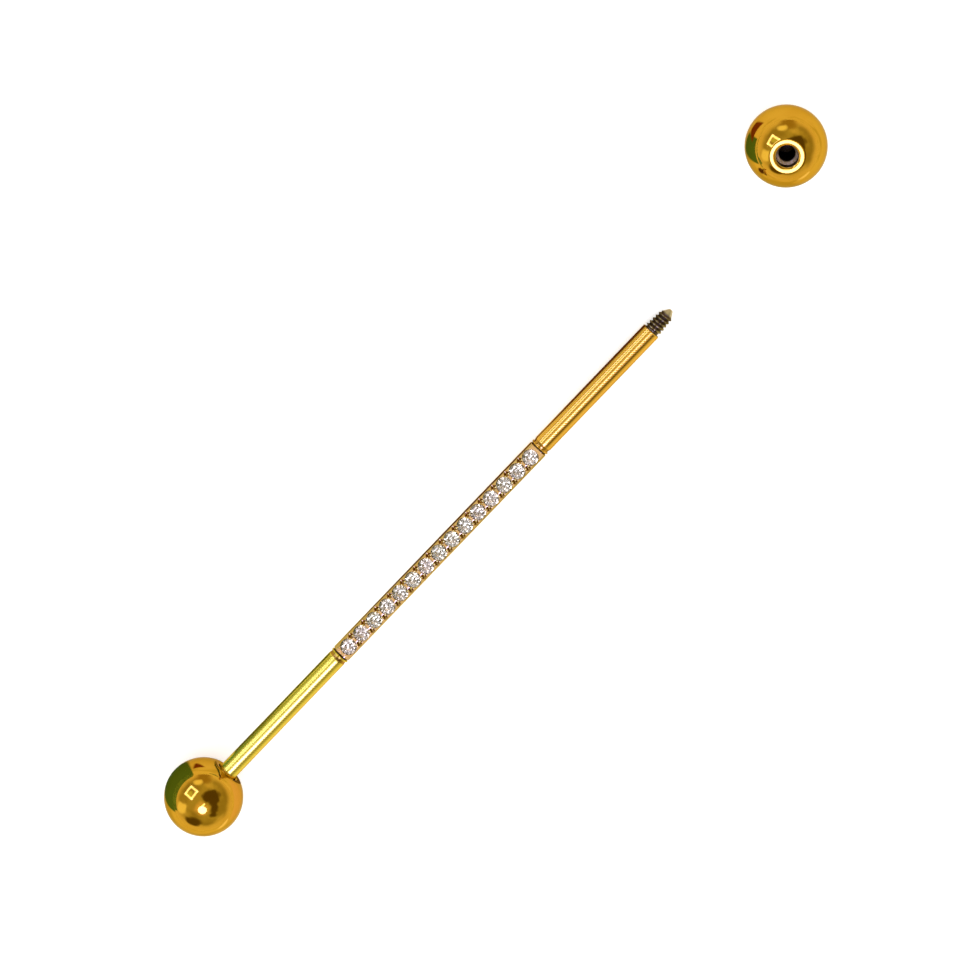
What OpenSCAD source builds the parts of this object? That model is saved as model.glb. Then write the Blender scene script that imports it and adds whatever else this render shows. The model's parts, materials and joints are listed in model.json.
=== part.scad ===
/* [Bar] */
// Diameter of the plain round bar, 16 gauge
bar_d = 1.2; // [1.1:0.1:1.6]
// Wearable length, between the flat lands of the two balls once both are screwed on
wear_len = 38; // [34:1:45]
// Width of the small chamfer on the bar's shoulder at the thread
shoulder_chamfer = 0.04; // [0.02:0.01:0.08]

/* [Balls] */
// Diameter of both balls
ball_d = 5; // [4:0.5:6]
// Diameter of the flat land ground on a ball round its hole
land_d = 2.12; // [1.9:0.02:2.4]
// Depth of the counterbore that takes the end of the bar
counterbore_depth = 0.6; // [0.4:0.05:0.8]
// Clearance between the bar and the counterbore's wall
counterbore_gap = 0.1; // [0.05:0.01:0.15]
// Width of the chamfer on the counterbore's mouth
mouth_chamfer = 0.08; // [0.04:0.01:0.1]
// Diameter of the tapped hole, measured over its thread crests
hole_d = 1; // [0.9:0.02:1.06]
// Depth of the tapped hole below the counterbore
hole_depth = 2.2; // [1.9:0.1:2.6]
// Gap between pieces that touch on the real object
seat_gap = 0.02; // [0.01:0.005:0.03]

/* [Thread] */
// Diameter of the thread over its crests
thread_d = 1.1; // [1.06:0.01:1.14]
// Depth of the thread from crest to root
thread_depth = 0.12; // [0.08:0.01:0.14]
// Pitch of the thread
thread_pitch = 0.25; // [0.2:0.01:0.3]
// Length of the threaded stretch
thread_len = 1.3; // [1:0.05:1.6]
// Size of the thread at its far end, as a share of its size at the neck
thread_taper = 0.82; // [0.76:0.02:1]
// Length of the plain neck between the shoulder and the thread
neck_len = 0.1; // [0.05:0.01:0.15]
// Length of the cone on the tip
cone_len = 0.37; // [0.25:0.01:0.45]
// Diameter of the blunt end of the cone
cone_tip_d = 0.22; // [0.1:0.02:0.4]

/* [Stone section] */
// Number of stones in the row
stone_count = 15; // [12:1:18]
// Diameter of a stone
stone_d = 1; // [0.8:0.02:1.04]
// Metal left between two neighbouring stones
stone_space = 0.18; // [0.15:0.01:0.24]
// Distance from the edge of an end stone to the middle of the ridge beside it
end_land = 0.35; // [0.3:0.01:0.6]
// How far the stone section lies from the middle of the bar, towards the thread
section_shift = 0.5; // [0:0.1:1]
// How far the stone section stands proud of the plain bar, all round
section_proud = 0.03; // [0.02:0.01:0.06]
// Width of the thin ridge at each end of the stone section
ridge_w = 0.11; // [0.08:0.01:0.14]
// Width of the groove between a ridge and the stones
groove_w = 0.12; // [0.08:0.01:0.16]
// Depth of the groove between a ridge and the stones
groove_depth = 0.09; // [0.05:0.01:0.12]
// Length of the hollow cove between a ridge and the plain bar
cove_len = 0.3; // [0.28:0.02:0.4]
// Depth of that cove below the plain bar
cove_depth = 0.05; // [0.03:0.01:0.08]
// Height of the deck above the stones' girdles
deck_over = 0.03; // [0.025:0.005:0.04]
// Radius of the beads that hold the stones
bead_r = 0.075; // [0.06:0.005:0.08]
// Direction of a bead from its stone, measured from the bar's axis
bead_angle = 40; // [36:1:44]
// Radius of the drilled pits between the beads, at the deck
pit_r = 0.11; // [0.08:0.005:0.12]
// Depth of those pits
pit_depth = 0.22; // [0.1:0.02:0.3]

/* [Stone cut] */
// Diameter of the table, as a share of the stone's diameter
table_share = 0.56; // [0.5:0.01:0.62]
// Height of the crown, as a share of the stone's diameter
crown_share = 0.15; // [0.12:0.01:0.17]
// Height of the girdle, as a share of the stone's diameter
girdle_share = 0.03; // [0.02:0.005:0.04]
// Depth of the pavilion, as a share of the stone's diameter
pavilion_share = 0.43; // [0.38:0.01:0.44]

/* [Lying on the surface] */
// Clear distance along the surface from the threaded tip to the unscrewed ball
loose_ahead = 9.8; // [6:0.1:14]
// How far the unscrewed ball lies to one side of the bar
loose_aside = 2.5; // [2:0.1:6]
// How far the unscrewed ball has rolled back from hole straight up
loose_tilt = 5.5; // [0:0.5:12]
// How far the bar is rolled about its own axis from stones straight up
bar_roll = 8.5; // [0:0.5:20]

/* [Hidden] */
$fn = 96;
STONE_NODES = [for (i = [1:stone_count]) str("stone_", i < 10 ? "0" : "", i)];

gold = [0.84, 0.62, 0.20];
clear = [0.93, 0.93, 0.95];

// Small overlap that lets two joined shapes share volume, and that carries a cut past a face
lap = 0.05;
bar_r = bar_d / 2;
ball_r = ball_d / 2;
land_r = land_d / 2;
land_x = sqrt(pow(ball_r, 2) - pow(land_r, 2));
counterbore_r = bar_r + counterbore_gap;

// Places along the bar, measured from the centre of the fixed ball
bar_start = land_x - counterbore_depth + seat_gap;
shoulder_x = land_x + wear_len + counterbore_depth - seat_gap;
thread_x = shoulder_x + neck_len;
cone_x = thread_x + thread_len;
tip_x = cone_x + cone_len;
thread_r = thread_d / 2;
root_r = thread_r - thread_depth;

// The plain post hidden in the fixed ball
post_r = hole_d / 2 - seat_gap;
post_len = hole_depth - 2 * thread_pitch;

// The stone section
stone_r = stone_d / 2;
stone_pitch = stone_d + stone_space;
section_len = (stone_count - 1) * stone_pitch + stone_d + 2 * end_land;
section_mid = land_x + wear_len / 2 + section_shift;
ridge_a = section_mid - section_len / 2;
ridge_b = section_mid + section_len / 2;
section_r = bar_r + section_proud;

// Share of a stone's half width that the metal beside it reaches at the girdle
side_share = 0.94;
girdle_h = stone_d * girdle_share;
crown_h = stone_d * crown_share;
pavilion_h = stone_d * pavilion_share;
girdle_z = sqrt(pow(section_r, 2) - pow(stone_r * side_share, 2));
girdle_top = girdle_z + girdle_h / 2;
girdle_low = girdle_z - girdle_h / 2;
culet_z = girdle_low - pavilion_h;
deck_z = girdle_top + deck_over;
deck_half = sqrt(pow(section_r, 2) - pow(deck_z, 2));
bead_out = stone_r + 0.4 * bead_r;
bead_z = girdle_top + seat_gap / 2 + bead_r;
// Share of the deck's half width at which the pits are drilled, and their share of size at the bottom
pit_side = 0.7;
pit_end_share = 0.45;
// Radius of a seat's pointed bottom, as a share of the stone's radius
seat_end_share = 0.16;

// Slope at which the bar rests on the fixed ball and on its own shoulder
contact_x = shoulder_x - shoulder_chamfer;
slope = asin(ball_r / norm([contact_x, bar_r])) - atan2(bar_r, contact_x);
loose_x = tip_x * cos(slope) + loose_ahead + ball_r;

function stone_x(i) = section_mid + (i - (stone_count + 1) / 2) * stone_pitch;
// Every stone is set at its own turn, in steps that don't repeat along the row
turn_step = 17;
function stone_turn(i) = i * turn_step;

// Puts the whole object's box centre over the origin, standing on the surface
module on_surface() {
    translate([-loose_x / 2, -loose_aside / 2, ball_r]) children();
}

// Takes a shape from the bar's own frame, axis along X and stones up, to where the bar lies
module along_bar(roll = 0) {
    on_surface() rotate([0, slope, 0]) rotate([-roll, 0, 0]) children();
}

// A round shape from its outline of [distance along the bar, radius] points
module turned(outline) {
    rotate([0, 90, 0]) rotate_extrude() polygon([for (p = outline) [p[1], p[0]]]);
}

// The half-round top of a ridge, from its side towards the fixed ball to its other side
function ridge_top(x) = [for (a = [180:-30:0])
    [x + ridge_w / 2 * cos(a), section_r - ridge_w / 2 * (1 - sin(a))]];

// The plain rod, ridges, grooves and coves, turned as one piece
module rod_blank() {
    turned([
        [bar_start, 0],
        [bar_start, bar_r],
        [ridge_a - ridge_w / 2 - cove_len, bar_r],
        [ridge_a - ridge_w / 2, bar_r - cove_depth],
        each ridge_top(ridge_a),
        [ridge_a + ridge_w / 2 + groove_w / 2, section_r - groove_depth],
        [ridge_a + ridge_w / 2 + groove_w, section_r],
        [ridge_b - ridge_w / 2 - groove_w, section_r],
        [ridge_b - ridge_w / 2 - groove_w / 2, section_r - groove_depth],
        each ridge_top(ridge_b),
        [ridge_b + ridge_w / 2, bar_r - cove_depth],
        [ridge_b + ridge_w / 2 + cove_len, bar_r],
        [contact_x, bar_r],
        [shoulder_x, bar_r - shoulder_chamfer],
        [shoulder_x, 0]
    ]);
}

// Flat cut that makes the deck between the two grooves
module deck_cut() {
    cut_a = ridge_a + ridge_w / 2 + groove_w / 2;
    cut_b = ridge_b - ridge_w / 2 - groove_w / 2;
    translate([cut_a, -section_r - lap, deck_z]) cube([cut_b - cut_a, 2 * (section_r + lap), section_r]);
}

// Room for one stone: a straight wall round its girdle and a cone under it
module stone_seat() {
    seat_r = stone_r + seat_gap;
    seat_floor = girdle_low - seat_gap;
    cone_low = culet_z - seat_gap;
    rotate_extrude()
        polygon([[0, cone_low], [stone_r * seat_end_share, cone_low], [seat_r, seat_floor],
                 [seat_r, seat_floor + section_r], [0, seat_floor + section_r]]);
}

// The pair of pits drilled beside the row between two stones
module pit_pair() {
    for (side = [-1, 1])
        translate([0, side * pit_side * deck_half, deck_z - pit_depth])
            cylinder(r1 = pit_r * pit_end_share, r2 = pit_r, h = pit_depth + seat_gap / 10);
}

// The four beads raised against one stone
module bead_set() {
    for (turn = [bead_angle, 180 - bead_angle, 180 + bead_angle, 360 - bead_angle])
        rotate([0, 0, turn]) translate([bead_out, 0, bead_z]) sphere(r = bead_r);
}

// Neck, helical thread and blunt cone, along +X from the shoulder
module threaded_tip() {
    thread_sides = 24;
    cuts_per_turn = 10;
    turns = thread_len / thread_pitch;
    end_r = thread_r * thread_taper;
    // One turn of the thread's outline: crest at 0 degrees, root at 180 degrees
    section = [for (k = [0:thread_sides - 1])
        let (a = 360 * k / thread_sides, r = thread_r - thread_depth * abs(180 - abs(180 - a)) / 180)
        [r * cos(a), r * sin(a)]];
    rotate([0, 90, 0]) {
        translate([0, 0, shoulder_x - lap]) cylinder(r = root_r, h = neck_len + 2 * lap);
        translate([0, 0, thread_x])
            linear_extrude(height = thread_len, twist = -360 * turns, slices = ceil(turns * cuts_per_turn),
                           scale = thread_taper, segments = thread_sides)
                polygon(section);
        translate([0, 0, cone_x]) cylinder(r1 = end_r, r2 = cone_tip_d / 2, h = cone_len);
    }
}

// The plain post that stands in the fixed ball's hole
module hidden_post() {
    translate([bar_start - post_len, 0, 0]) rotate([0, 90, 0]) cylinder(r = post_r, h = post_len + lap);
}

module bar() {
    color(gold) along_bar(bar_roll) {
        difference() {
            rod_blank();
            deck_cut();
            for (i = [1:stone_count]) translate([stone_x(i), 0, 0]) stone_seat();
            for (i = [0:stone_count]) translate([stone_x(i) + stone_pitch / 2, 0, 0]) pit_pair();
        }
        for (i = [1:stone_count]) translate([stone_x(i), 0, 0]) bead_set();
        threaded_tip();
        hidden_post();
    }
}

// A ball with its land and counterbore facing +Z, centred on its own centre
module ball_blank() {
    cut_low = land_x - counterbore_depth;
    difference() {
        sphere(r = ball_r);
        translate([0, 0, land_x]) cylinder(r = ball_r, h = ball_r);
        translate([0, 0, cut_low]) cylinder(r = counterbore_r, h = counterbore_depth + lap);
        translate([0, 0, land_x - mouth_chamfer])
            cylinder(r1 = counterbore_r, r2 = counterbore_r + 2 * mouth_chamfer, h = 2 * mouth_chamfer);
        translate([0, 0, cut_low - hole_depth]) cylinder(d = hole_d, h = hole_depth + lap);
    }
}

// Ring grooves that stand for the thread inside the unscrewed ball's hole
module hole_grooves() {
    groove_out = hole_d / 2 + thread_depth * 0.8;
    groove_half = thread_pitch * 0.34;
    first = land_x - counterbore_depth - thread_pitch * 0.6;
    ring_count = floor((hole_depth - thread_pitch) / thread_pitch);
    for (k = [0:ring_count - 1])
        translate([0, 0, first - k * thread_pitch])
            rotate_extrude()
                polygon([[hole_d / 4, -groove_half / 2], [hole_d / 2, -groove_half], [groove_out, 0],
                         [hole_d / 2, groove_half], [hole_d / 4, groove_half / 2]]);
}

module fixed_ball() {
    color(gold) along_bar() rotate([0, 90, 0]) ball_blank();
}

module loose_ball() {
    color(gold) on_surface() translate([loose_x, loose_aside, 0]) rotate([0, -loose_tilt, 0])
        difference() {
            ball_blank();
            hole_grooves();
        }
}

// A round brilliant with its table up and its girdle's middle at z = 0: table, 8 star, 8 kite
// and 16 upper facets, 16 girdle facets, 16 lower and 8 main pavilion facets
module brilliant() {
    table_r = stone_r * table_share;
    star_r = stone_r * 0.77;
    lower_r = stone_r * 0.26;
    half = 22.5;
    // A kite facet is flat, so its side corners lie on the plane through its top and bottom corners
    star_z = girdle_h / 2 + crown_h * (stone_r - star_r * cos(half)) / (stone_r - table_r);
    lower_z = -girdle_h / 2 - pavilion_h * (stone_r - lower_r * cos(half)) / stone_r;
    function ring(r, z, n, first) = [for (k = [0:n - 1]) [r * cos(first + 360 * k / n), r * sin(first + 360 * k / n), z]];
    points = concat(
        ring(table_r, girdle_h / 2 + crown_h, 8, 0),
        ring(star_r, star_z, 8, half),
        ring(stone_r, girdle_h / 2, 16, 0),
        ring(stone_r, -girdle_h / 2, 16, 0),
        ring(lower_r, lower_z, 8, half),
        [[0, 0, -girdle_h / 2 - pavilion_h]]);
    table = 0;
    star = 8;
    top = 16;
    low = 32;
    lower = 48;
    culet = 56;
    faces = concat(
        [[for (k = [7:-1:0]) table + k]],
        [for (k = [0:7]) [table + k, table + (k + 1) % 8, star + k]],
        [for (k = [0:7]) [table + k, star + k, top + 2 * k, star + (k + 7) % 8]],
        [for (k = [0:7]) [star + k, top + 2 * k + 1, top + 2 * k]],
        [for (k = [0:7]) [star + k, top + (2 * k + 2) % 16, top + 2 * k + 1]],
        [for (k = [0:15]) [top + k, top + (k + 1) % 16, low + (k + 1) % 16, low + k]],
        [for (k = [0:7]) [low + 2 * k, low + 2 * k + 1, lower + k]],
        [for (k = [0:7]) [low + 2 * k + 1, low + (2 * k + 2) % 16, lower + k]],
        [for (k = [0:7]) [low + 2 * k, lower + k, culet, lower + (k + 7) % 8]]);
    polyhedron(points = points, faces = faces);
}

module stone(i) {
    color(clear) along_bar(bar_roll) translate([stone_x(i), 0, girdle_z]) rotate([0, 0, stone_turn(i)]) brilliant();
}

bar();
fixed_ball();
loose_ball();
for (i = [1:stone_count])
    stone(i);
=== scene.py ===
# %% [markdown]
# # A gold barbell with a row of set stones
# This lesson dresses a piercing barbell: a thin gold bar with fifteen clear stones set in its middle, a ball
# screwed on one end, and a second ball that has been taken off and lies beyond the bare steel thread.
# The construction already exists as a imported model. Nothing here moves it: each new surface takes its place
# from that frame, and the stones keep the construction's own facets.

# %% The frame
import json
import math
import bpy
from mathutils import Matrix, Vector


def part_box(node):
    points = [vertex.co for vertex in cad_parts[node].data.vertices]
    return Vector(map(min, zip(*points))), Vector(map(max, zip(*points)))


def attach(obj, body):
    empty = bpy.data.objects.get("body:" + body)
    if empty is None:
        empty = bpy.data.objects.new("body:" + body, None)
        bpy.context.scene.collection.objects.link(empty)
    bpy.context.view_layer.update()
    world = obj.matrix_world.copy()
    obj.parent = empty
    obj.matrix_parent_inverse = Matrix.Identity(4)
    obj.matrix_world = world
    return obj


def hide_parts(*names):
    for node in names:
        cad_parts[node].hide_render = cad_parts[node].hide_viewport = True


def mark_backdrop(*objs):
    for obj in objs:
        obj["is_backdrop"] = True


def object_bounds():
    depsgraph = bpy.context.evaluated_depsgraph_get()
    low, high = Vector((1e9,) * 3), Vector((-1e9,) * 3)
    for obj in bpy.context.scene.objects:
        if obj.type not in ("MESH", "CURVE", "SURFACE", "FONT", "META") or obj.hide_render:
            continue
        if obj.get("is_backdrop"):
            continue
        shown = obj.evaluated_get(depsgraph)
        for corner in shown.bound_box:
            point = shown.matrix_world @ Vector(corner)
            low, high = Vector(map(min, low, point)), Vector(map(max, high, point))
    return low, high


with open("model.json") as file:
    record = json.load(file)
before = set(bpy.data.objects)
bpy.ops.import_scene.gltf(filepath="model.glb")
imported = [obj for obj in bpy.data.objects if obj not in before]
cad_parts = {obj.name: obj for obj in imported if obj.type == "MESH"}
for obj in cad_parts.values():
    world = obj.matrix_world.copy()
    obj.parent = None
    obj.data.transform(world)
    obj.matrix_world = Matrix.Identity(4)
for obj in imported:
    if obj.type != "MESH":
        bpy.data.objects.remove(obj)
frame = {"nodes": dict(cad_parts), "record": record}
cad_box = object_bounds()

from types import SimpleNamespace

import bmesh
import bpy
import mathutils
import numpy as np

print("nodes in the frame:", len(frame["nodes"]))

# %% [markdown]
# ## Where the camera stands
# The photograph looks down on the piece from about 73 degrees above the surface, turned so that the bar
# runs from the lower left to the upper right. A camera is described well by three things: where it stands,
# what it looks at, and which way is up in the picture. The turn is worked out from those as a matrix, which
# leaves no constraint behind. The lens is long, because the whole piece is only sixty millimetres long.

# %% Camera
MM = 0.001
CAMERA_PLACE = np.array([47.584, 53.553, 235.393]) * MM
CAMERA_TARGET = np.array([-0.697, -0.023, 1.0]) * MM
PICTURE_UP = np.array([0.70027, 0.65096, -0.29304])
FIELD_OF_VIEW = math.radians(13.835)


def unit(vector):
    """The vector, or each row of an array of vectors, divided by its length."""
    vector = np.asarray(vector, float)
    return vector / np.linalg.norm(vector, axis=-1, keepdims=True)


def look(place, target, up):
    """A turn whose minus Z axis points from place to target, with Y as close to up as it can be."""
    back = unit(np.asarray(place) - np.asarray(target))
    right = unit(np.cross(up, back))
    turn = np.column_stack([right, np.cross(back, right), back])
    matrix = np.eye(4)
    matrix[:3, :3] = turn
    matrix[:3, 3] = place
    return matrix


camera_data = bpy.data.cameras.new("camera")
camera_data.sensor_fit = "HORIZONTAL"
camera_data.angle = FIELD_OF_VIEW
camera_data.clip_start = 0.01
camera_data.clip_end = 20
camera = bpy.data.objects.new("camera", camera_data)
camera.matrix_world = look(CAMERA_PLACE, CAMERA_TARGET, PICTURE_UP).T.tolist()
bpy.context.scene.collection.objects.link(camera)
bpy.context.scene.camera = camera
camera_height = math.degrees(math.asin(unit(CAMERA_PLACE - CAMERA_TARGET)[2]))
print("camera stands", round(camera_height, 1), "degrees above the surface")

# %% [markdown]
# ## A surface from an array of points
# Every new piece below is one surface worked out with numpy: a grid of points with two parameters, whose
# rows follow a profile and whose columns go round an axis. One function joins such grids into one mesh. It
# cuts each cell of a grid into two triangles, welds points that coincide, such as a pole or a shared ring,
# and turns the faces outwards. A sharp edge stays sharp because shading is only smoothed below an angle.

# %% Surface helpers
WELD = 2e-8
SHARP_ANGLE = math.radians(32)


def grid_triangles(rows, columns, first, close_columns):
    """Two triangles for each cell of a rows by columns grid whose points are numbered from first."""
    number = first + np.arange(rows * columns).reshape(rows, columns)
    if close_columns:
        number = np.column_stack([number, number[:, :1]])
    a, b = number[:-1, :-1], number[:-1, 1:]
    c, d = number[1:, 1:], number[1:, :-1]
    return np.concatenate([np.stack([a, b, c], -1).reshape(-1, 3), np.stack([a, c, d], -1).reshape(-1, 3)])


def surface(name, grids, close_columns=True):
    """One mesh object from grids of points in metres, each an array of rows, columns and x, y, z."""
    points, triangles, first = [], [], 0
    for grid in grids:
        rows, columns = grid.shape[:2]
        points.append(grid.reshape(-1, 3))
        triangles.append(grid_triangles(rows, columns, first, close_columns))
        first += rows * columns
    mesh = bpy.data.meshes.new(name)
    mesh.from_pydata(np.concatenate(points).tolist(), [], np.concatenate(triangles).tolist())
    shape = bmesh.new()
    shape.from_mesh(mesh)
    bmesh.ops.remove_doubles(shape, verts=shape.verts, dist=WELD)
    bmesh.ops.dissolve_degenerate(shape, edges=shape.edges, dist=WELD)
    bmesh.ops.recalc_face_normals(shape, faces=shape.faces)
    shape.to_mesh(mesh)
    shape.free()
    mesh.shade_smooth()
    mesh.set_sharp_from_angle(angle=SHARP_ANGLE)
    piece = bpy.data.objects.new(name, mesh)
    bpy.context.scene.collection.objects.link(piece)
    print(name, "has", len(mesh.polygons), "triangles")
    return piece


def arc(centre, radius, start, end, steps):
    """Points of a circle's arc from start to end in degrees: centre plus radius times cosine and sine."""
    angle = np.radians(np.linspace(start, end, steps))
    return np.column_stack([centre[0] + radius * np.cos(angle), centre[1] + radius * np.sin(angle)])


# %% [markdown]
# ## The bar's and the balls' own frames
# It is far easier to shape a bar along a plain X axis than along the slope on which it lies. So each shape
# is worked out in its own frame, in millimetres, and one matrix then carries it to its place. The matrices
# come from the frame's mounts: the bar's shaft gives the bar's line, and the tapped hole gives the loose
# ball's.

# %% Sizes and places
BAR_R = 0.6
BALL_R = 2.5
LAND_R = 1.06
WEAR_LENGTH = 38.0
COUNTERBORE_DEPTH = 0.6
COUNTERBORE_R = 0.7
MOUTH_CHAMFER = 0.08
HOLE_R = 0.5
HOLE_DEPTH = 2.2
SEAT_GAP = 0.02
SHOULDER_CHAMFER = 0.04
BAR_ROLL = math.radians(8.5)

LAND_X = math.sqrt(BALL_R**2 - LAND_R**2)
BAR_START = LAND_X - COUNTERBORE_DEPTH + SEAT_GAP
SHOULDER_X = LAND_X + WEAR_LENGTH + COUNTERBORE_DEPTH - SEAT_GAP

mounts = {m["name"]: m for m in frame["record"]["mounts"]}


def placed(points, across, along, origin):
    """Millimetres along, beside and across a piece to metres: each times its direction, plus the origin."""
    side = np.cross(across, along)
    return (points @ np.array([along, side, across])) * MM + origin


shaft = mounts["bar_shaft"]
shaft_middle = SHOULDER_X - SHOULDER_CHAMFER - shaft["dims"]["length_mm"] / 2
bar_line = unit(shaft["axis"])
bar_origin = np.array(shaft["pos_m"]) - bar_line * shaft_middle * MM
level_side = np.array([0.0, 1.0, 0.0])
bar_up = math.cos(BAR_ROLL) * np.cross(bar_line, level_side) + math.sin(BAR_ROLL) * level_side

hole = mounts["loose_ball_hole"]
hole_line = unit(hole["axis"])
loose_origin = np.array(hole["pos_m"]) - hole_line * (LAND_X - COUNTERBORE_DEPTH - HOLE_DEPTH / 2) * MM
loose_side = unit(np.cross(hole_line, level_side))

low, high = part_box("fixed_ball")
print("fixed ball's centre", (bar_origin / MM).round(3), "box middle y", round((low.y + high.y) / 2 / MM, 3))
low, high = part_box("loose_ball")
print("loose ball's centre", (loose_origin / MM).round(3), "box end x", round(high.x / MM, 3))


def on_bar(points):
    """Points in the bar's frame, X along the bar from the fixed ball's centre and Z through the stones."""
    return placed(points, bar_up, bar_line, bar_origin)


def on_loose_ball(points):
    """Points in the loose ball's frame, X out of its hole from its centre."""
    return placed(points, loose_side, hole_line, loose_origin)


def turned(profile, angles, stretch=0.0):
    """A profile of [x, radius] points turned about X: y is radius times the sine, z times the cosine."""
    x = np.broadcast_to(profile[:, :1], (len(profile), len(angles)))
    radius = profile[:, 1:] + stretch
    return np.stack([x, radius * np.sin(angles), radius * np.cos(angles)], -1)


# %% [markdown]
# ## The balls
# A barbell ball is turned on a lathe: a sphere with a small flat land ground round its hole, a shallow
# counterbore that swallows the end of the bar, and a tapped hole below that. All of it is one profile turned
# round the hole's line. The thread inside the hole is the one part that isn't round: its radius also depends
# on the angle, as a triangle wave that climbs one pitch in each turn, which makes a true helix.

# %% Ball shape
BALL_COLUMNS = 144
THREAD_PITCH = 0.25
THREAD_DEPTH = 0.12
LAND_EDGE = 0.03
LAND_ROUNDING = 0.8
EDGE_DROP = 0.006
EASE = 0.02
LEAD_IN = 0.16
HOLE_TIP = 0.12
THREAD_STOP = 0.3
GROOVE_SHARE = 0.8
TURN_STEPS = 14
SPHERE_ROWS = 110


def triangle_wave(turns):
    """A wave of period 1 that runs from 0 at whole numbers up to 1 halfway and back down."""
    return 1 - np.abs(2 * (turns - np.floor(turns)) - 1)


def ball(name, to_place):
    """A ball in its own frame: sphere, land, chamfered counterbore, lead-in cone and tapped hole.

    The groove in the hole is a depth times a triangle wave of x over pitch plus the turn.
    """
    angles = np.linspace(0, 2 * math.pi, BALL_COLUMNS, endpoint=False)
    land_angle = math.degrees(math.asin(LAND_R / BALL_R))
    sphere = arc((0, 0), BALL_R, 180, land_angle + LAND_ROUNDING, SPHERE_ROWS)
    floor_x = LAND_X - COUNTERBORE_DEPTH
    hole_end = floor_x - HOLE_DEPTH
    land = np.array([
        [LAND_X - EDGE_DROP, LAND_R - 0.5 * LAND_EDGE],
        [LAND_X, LAND_R - 1.6 * LAND_EDGE],
        [LAND_X, COUNTERBORE_R + MOUTH_CHAMFER + EASE],
        [LAND_X - EDGE_DROP, COUNTERBORE_R + MOUTH_CHAMFER],
        [LAND_X - MOUTH_CHAMFER, COUNTERBORE_R],
        [floor_x + 2 * EASE, COUNTERBORE_R],
        [floor_x, COUNTERBORE_R - EASE],
        [floor_x - LEAD_IN, HOLE_R],
    ])
    hole_x = np.arange(floor_x - LEAD_IN - 0.01, hole_end + THREAD_STOP, -THREAD_PITCH / TURN_STEPS)
    wall = np.column_stack([hole_x, np.full(len(hole_x), HOLE_R)])
    tip = np.array([[hole_end + HOLE_TIP, HOLE_R], [hole_end, 0]])
    wave = triangle_wave(hole_x[:, None] / THREAD_PITCH + angles / (2 * math.pi))
    groove = GROOVE_SHARE * THREAD_DEPTH * wave
    groove[0] = 0
    grid = np.concatenate([turned(sphere, angles), turned(land, angles),
                           turned(wall, angles, groove), turned(tip, angles)])
    return surface(name, [to_place(grid)])


fixed_ball = ball("fixed_ball_polished", on_bar)
loose_ball = ball("loose_ball_polished", on_loose_ball)

# %% [markdown]
# ## The plain stretches of the bar
# Between each ball and the stones the bar is a plain round rod. Close to the stone section the maker turned
# a shallow hollow cove, a thin half-round ridge and a narrow groove, which frame the stones. One profile
# carries all of it. The far stretch is the same profile read backwards, so one function makes both.

# %% Plain stretches
STONES = 15
STONE_R = 0.5
STONE_SPACE = 0.18
END_LAND = 0.35
SECTION_SHIFT = 0.5
SECTION_R = 0.63
RIDGE_W = 0.11
GROOVE_W = 0.12
GROOVE_DEPTH = 0.09
GROOVE_R = SECTION_R - GROOVE_DEPTH
COVE_LENGTH = 0.3
COVE_DEPTH = 0.05
COVE_R = BAR_R - COVE_DEPTH
COVE_ROWS = 12
RIDGE_ROWS = 13
ROD_ROWS = 40
END_CHAMFER = 0.02
PITCH = 2 * STONE_R + STONE_SPACE
SECTION_MIDDLE = LAND_X + WEAR_LENGTH / 2 + SECTION_SHIFT
SECTION_HALF = ((STONES - 1) * PITCH + 2 * STONE_R) / 2 + END_LAND
WIDTH_AT_GIRDLE = 0.94
GIRDLE_Z = math.sqrt(SECTION_R**2 - (WIDTH_AT_GIRDLE * STONE_R)**2)
GIRDLE_H = 0.03
DECK_OVER_GIRDLE = 0.03
DECK_Z = GIRDLE_Z + GIRDLE_H / 2 + DECK_OVER_GIRDLE
DECK_ANGLE = math.acos(DECK_Z / SECTION_R)

DECK_STEPS = 21
UNDER_STEPS = 53
deck_columns = np.linspace(-DECK_ANGLE, DECK_ANGLE, DECK_STEPS)
under_columns = np.linspace(DECK_ANGLE, 2 * math.pi - DECK_ANGLE, UNDER_STEPS)[1:-1]
bar_columns = np.concatenate([deck_columns, under_columns])


def ridge_profile():
    """Cove, half-round ridge and half the groove, with x from the ridge's middle towards the stones.

    The cove's dip is half its depth times one minus a cosine that runs through half a turn.
    """
    cove_x = np.linspace(-COVE_LENGTH, 0, COVE_ROWS)
    dip = (BAR_R - COVE_R) * 0.5 * (1 - np.cos(math.pi * (cove_x + COVE_LENGTH) / COVE_LENGTH))
    cove = np.column_stack([cove_x - RIDGE_W / 2, BAR_R - dip])
    top = arc((0, SECTION_R - RIDGE_W / 2), RIDGE_W / 2, 180, 0, RIDGE_ROWS)
    groove = np.array([[RIDGE_W / 2 + 0.02, GROOVE_R + 0.01], [RIDGE_W / 2 + GROOVE_W / 2, GROOVE_R]])
    return np.concatenate([cove, top, groove])


def plain_stretch(outer_x, outer_profile, ridge_x, towards):
    """A turned grid from an end of the bar, over the rod, to the bottom of the groove by the stones."""
    near = ridge_profile()
    near[:, 0] = ridge_x + towards * near[:, 0]
    rod_x = np.linspace(outer_x, near[0, 0], ROD_ROWS)[1:-1]
    rod = np.column_stack([rod_x, np.full(len(rod_x), BAR_R)])
    return turned(np.concatenate([outer_profile, rod, near]), bar_columns)


POST_R = HOLE_R - SEAT_GAP
POST_LENGTH = HOLE_DEPTH - 2 * THREAD_PITCH
ridge_a = SECTION_MIDDLE - SECTION_HALF
ridge_b = SECTION_MIDDLE + SECTION_HALF
post = np.array([[BAR_START - POST_LENGTH, 0], [BAR_START - POST_LENGTH, POST_R], [BAR_START, POST_R],
                 [BAR_START, BAR_R - END_CHAMFER], [BAR_START + END_CHAMFER, BAR_R]])
lower_stretch = plain_stretch(BAR_START + END_CHAMFER, post, ridge_a, 1)

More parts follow.
